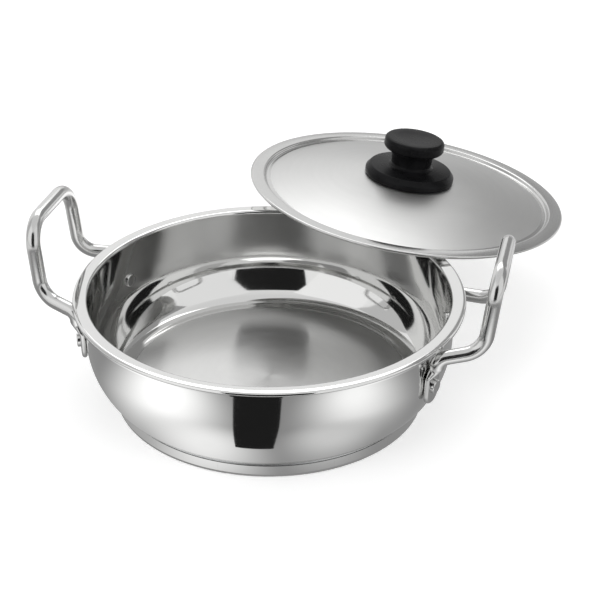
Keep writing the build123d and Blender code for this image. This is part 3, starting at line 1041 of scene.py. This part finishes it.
def card(name, location, width, height, level):
    """A flat card that faces the aim and glows: a painted reflection."""
    facing = (Vector(AIM) - location).to_track_quat("Z", "Y").to_matrix().to_4x4()
    mesh = bmesh.new()
    bmesh.ops.create_grid(mesh, x_segments=1, y_segments=1, size=0.5)
    bmesh.ops.scale(mesh, vec=(width, height, 1), verts=mesh.verts[:])
    bmesh.ops.transform(mesh, matrix=Matrix.Translation(location) @ facing, verts=mesh.verts[:])
    only_reflected(name, mesh, glow(name, level))


def strip(name, azimuth, near, far, level):
    """A flat strip on the floor that widens away from the pan and glows: a painted reflection. Its ends are a
    distance and a width each.
    """
    mesh = bmesh.new()
    bmesh.ops.create_grid(mesh, x_segments=1, y_segments=1, size=0.5)
    for corner in mesh.verts:
        distance, width = far if corner.co.x > 0 else near
        corner.co = (distance, corner.co.y * width, STRIP_HEIGHT)
    bmesh.ops.rotate(mesh, cent=(0, 0, 0), matrix=Matrix.Rotation(azimuth, 3, "Z"), verts=mesh.verts[:])
    only_reflected(name, mesh, glow(name, level))


def pool(name, centre, radius, edge, level):
    """A soft-edged round of painted light or shade that lies on the floor and glows at a plain level."""
    mesh = bmesh.new()
    place = Matrix.Translation(centre)
    bmesh.ops.create_circle(mesh, cap_ends=True, radius=radius, segments=STAGE_STEPS, matrix=place)
    material, tree = bare_material(name)
    position = add_node(tree, "TexCoord").outputs["Object"]
    away = add_node(tree, "VectorMath", {0: position, 1: centre}, operation="DISTANCE").outputs["Value"]
    solid = range_node(tree, away, radius, radius - edge, interpolation="SMOOTHSTEP")
    clear = add_node(tree, "BsdfTransparent").outputs[0]
    mixed = add_node(tree, "MixShader", {0: solid, 1: clear, 2: glow_node(tree, level)}).outputs[0]
    add_node(tree, "OutputMaterial", {0: mixed})
    only_reflected(name, mesh, material)


def softbox(name, location, width, height, power):
    """A rectangular soft lamp that faces the aim."""
    data = bpy.data.lights.new(name, "AREA")
    data.shape = "RECTANGLE"
    data.size = width
    data.size_y = height
    data.energy = power
    lamp = bpy.data.objects.new(name, data)
    lamp.location = location
    lamp.rotation_euler = (Vector(AIM) - location).to_track_quat("-Z", "Y").to_euler()
    lamp.visible_camera = False
    bpy.context.scene.collection.objects.link(lamp)
    return lamp


class KADAI_OT_studio(bpy.types.Operator):
    """Sets up the floor, the background, the lamps and the camera"""

    bl_idname = "kadai.studio"
    bl_label = "Studio"

    def execute(self, context):
        scene, studio = context.scene, context.scene.kadai_studio
        self.floor(studio)
        self.background(scene)
        # Painted highlights: each side lamp is hidden from the steel, and a glowing card shows its face.
        for side, place, power, level in SIDE_SOFTBOXES:
            location = from_camera_side(studio, place)
            softbox(f"{side} softbox", location, *SIDE_SOFTBOX_SIZE, power).visible_glossy = False
            card(f"{side} softbox face", location, *SIDE_SOFTBOX_SIZE, level)
        place, width, height, power = REAR_SOFTBOX
        softbox("Rear softbox", from_camera_side(studio, place), width, height, power)
        for name, place, width, height, level in CARDS:
            card(name, from_camera_side(studio, place), width, height, level)
        for name, place, radius, edge, level in POOLS:
            pool(name, from_camera_side(studio, place), radius, edge, level)
        azimuth = studio.camera_azimuth - pi / 2 + radians(STRIP_ANGLE)
        strip("Front strip", azimuth, *STRIP_ENDS, DARK)
        self.camera(scene, studio)
        scene.view_settings.view_transform = "Standard"
        scene.cycles.glossy_bounces = 12
        return {"FINISHED"}

    def floor(self, studio):
        """A wide pale floor that the camera and the steel see nearly white."""
        mesh = bmesh.new()
        bmesh.ops.create_circle(mesh, cap_ends=True, radius=FLOOR_RADIUS, segments=STAGE_STEPS)
        material, tree = bare_material("Pale floor")
        paths = add_node(tree, "LightPath").outputs
        seen = math_node(tree, "ADD", paths["Is Camera Ray"], paths["Is Transmission Ray"])
        mirrored = math_node(tree, "MULTIPLY", paths["Is Glossy Ray"], studio.mirrored_lift)
        seen = math_node(tree, "ADD", seen, mirrored, clamp=True)
        lift = add_node(tree, "Emission", {"Strength": math_node(tree, "MULTIPLY", seen, studio.floor_lift)})
        diffuse = add_node(tree, "BsdfDiffuse", {"Color": (*studio.floor_colour, 1)})
        both = add_node(tree, "AddShader", {0: diffuse.outputs[0], 1: lift.outputs[0]})
        add_node(tree, "OutputMaterial", {0: both.outputs[0]})
        place_mesh("Floor", mesh, material)

    def background(self, scene):
        """White where the camera and the steel see it, and a plain soft level for the light itself."""
        scene.world = bpy.data.worlds.new("Studio")
        scene.world.use_nodes = True
        tree = scene.world.node_tree
        paths = add_node(tree, "LightPath").outputs
        seen = math_node(tree, "ADD", paths["Is Camera Ray"], paths["Is Glossy Ray"])
        seen = math_node(tree, "ADD", seen, paths["Is Transmission Ray"], clamp=True)
        way = add_node(tree, "SeparateXYZ", {0: add_node(tree, "TexCoord").outputs["Generated"]})
        wall = range_node(tree, way.outputs["Z"], *WALL_LEVELS)
        back = tree.nodes["Background"]
        back.inputs["Color"].default_value = (1, 1, 1, 1)
        feed(tree, back.inputs["Strength"], range_node(tree, seen, 0.0, 1.0, AMBIENT, wall))

    def camera(self, scene, studio):
        """A camera at the photograph's place."""
        data = bpy.data.cameras.new("Camera")
        data.lens = studio.camera_lens
        data.sensor_width = SENSOR_WIDTH
        camera = bpy.data.objects.new("Camera", data)
        scene.collection.objects.link(camera)
        azimuth, pitch, roll = studio.camera_azimuth, studio.camera_pitch, studio.camera_roll
        sideways = Vector((cos(azimuth), sin(azimuth), 0))
        forward = Vector((-sin(azimuth) * cos(pitch), cos(azimuth) * cos(pitch), -sin(pitch)))
        right = cos(roll) * sideways + sin(roll) * sideways.cross(forward)
        camera.matrix_world = Matrix.Translation(studio.camera_place) @ turned_to(right, -forward)
        scene.camera = camera


class KADAI_PT_sidebar(bpy.types.Panel):
    """Lists the pieces and their sizes"""

    bl_idname = "KADAI_PT_sidebar"
    bl_label = "Kadai"
    bl_space_type = "VIEW_3D"
    bl_region_type = "UI"
    bl_category = "Kadai"

    def draw(self, context):
        for operator in OPERATORS:
            self.layout.operator(operator.bl_idname)
        for name, group in GROUPS.items():
            box = self.layout.box()
            for setting in group.__annotations__:
                box.prop(getattr(context.scene, name), setting)


OPERATORS = (
    KADAI_OT_base,
    KADAI_OT_bowl,
    KADAI_OT_handles,
    KADAI_OT_rivets,
    KADAI_OT_lid,
    KADAI_OT_knob,
    KADAI_OT_studio,
)
GROUPS = {
    "kadai_pan": KadaiPanSizes,
    "kadai_handles": KadaiHandleSizes,
    "kadai_lid": KadaiLidSizes,
    "kadai_knob": KadaiKnobSizes,
    "kadai_finishes": KadaiFinishes,
    "kadai_studio": KadaiStudio,
}


def register():
    """Registers the classes and hangs the property groups on the scene."""
    for made in (*GROUPS.values(), *OPERATORS, KADAI_PT_sidebar):
        bpy.utils.register_class(made)
    for name, group in GROUPS.items():
        setattr(bpy.types.Scene, name, bpy.props.PointerProperty(type=group))


def unregister():
    """Takes the property groups off the scene and unregisters the classes."""
    for name in GROUPS:
        delattr(bpy.types.Scene, name)
    for made in (KADAI_PT_sidebar, *reversed(OPERATORS), *reversed(GROUPS.values())):
        bpy.utils.unregister_class(made)


def main():
    register()
    bpy.ops.kadai.base()
    bpy.ops.kadai.bowl()
    bpy.ops.kadai.handles()
    bpy.ops.kadai.rivets()
    bpy.ops.kadai.lid()
    bpy.ops.kadai.knob()
    bpy.ops.kadai.studio()


if __name__ == "__main__":
    main()
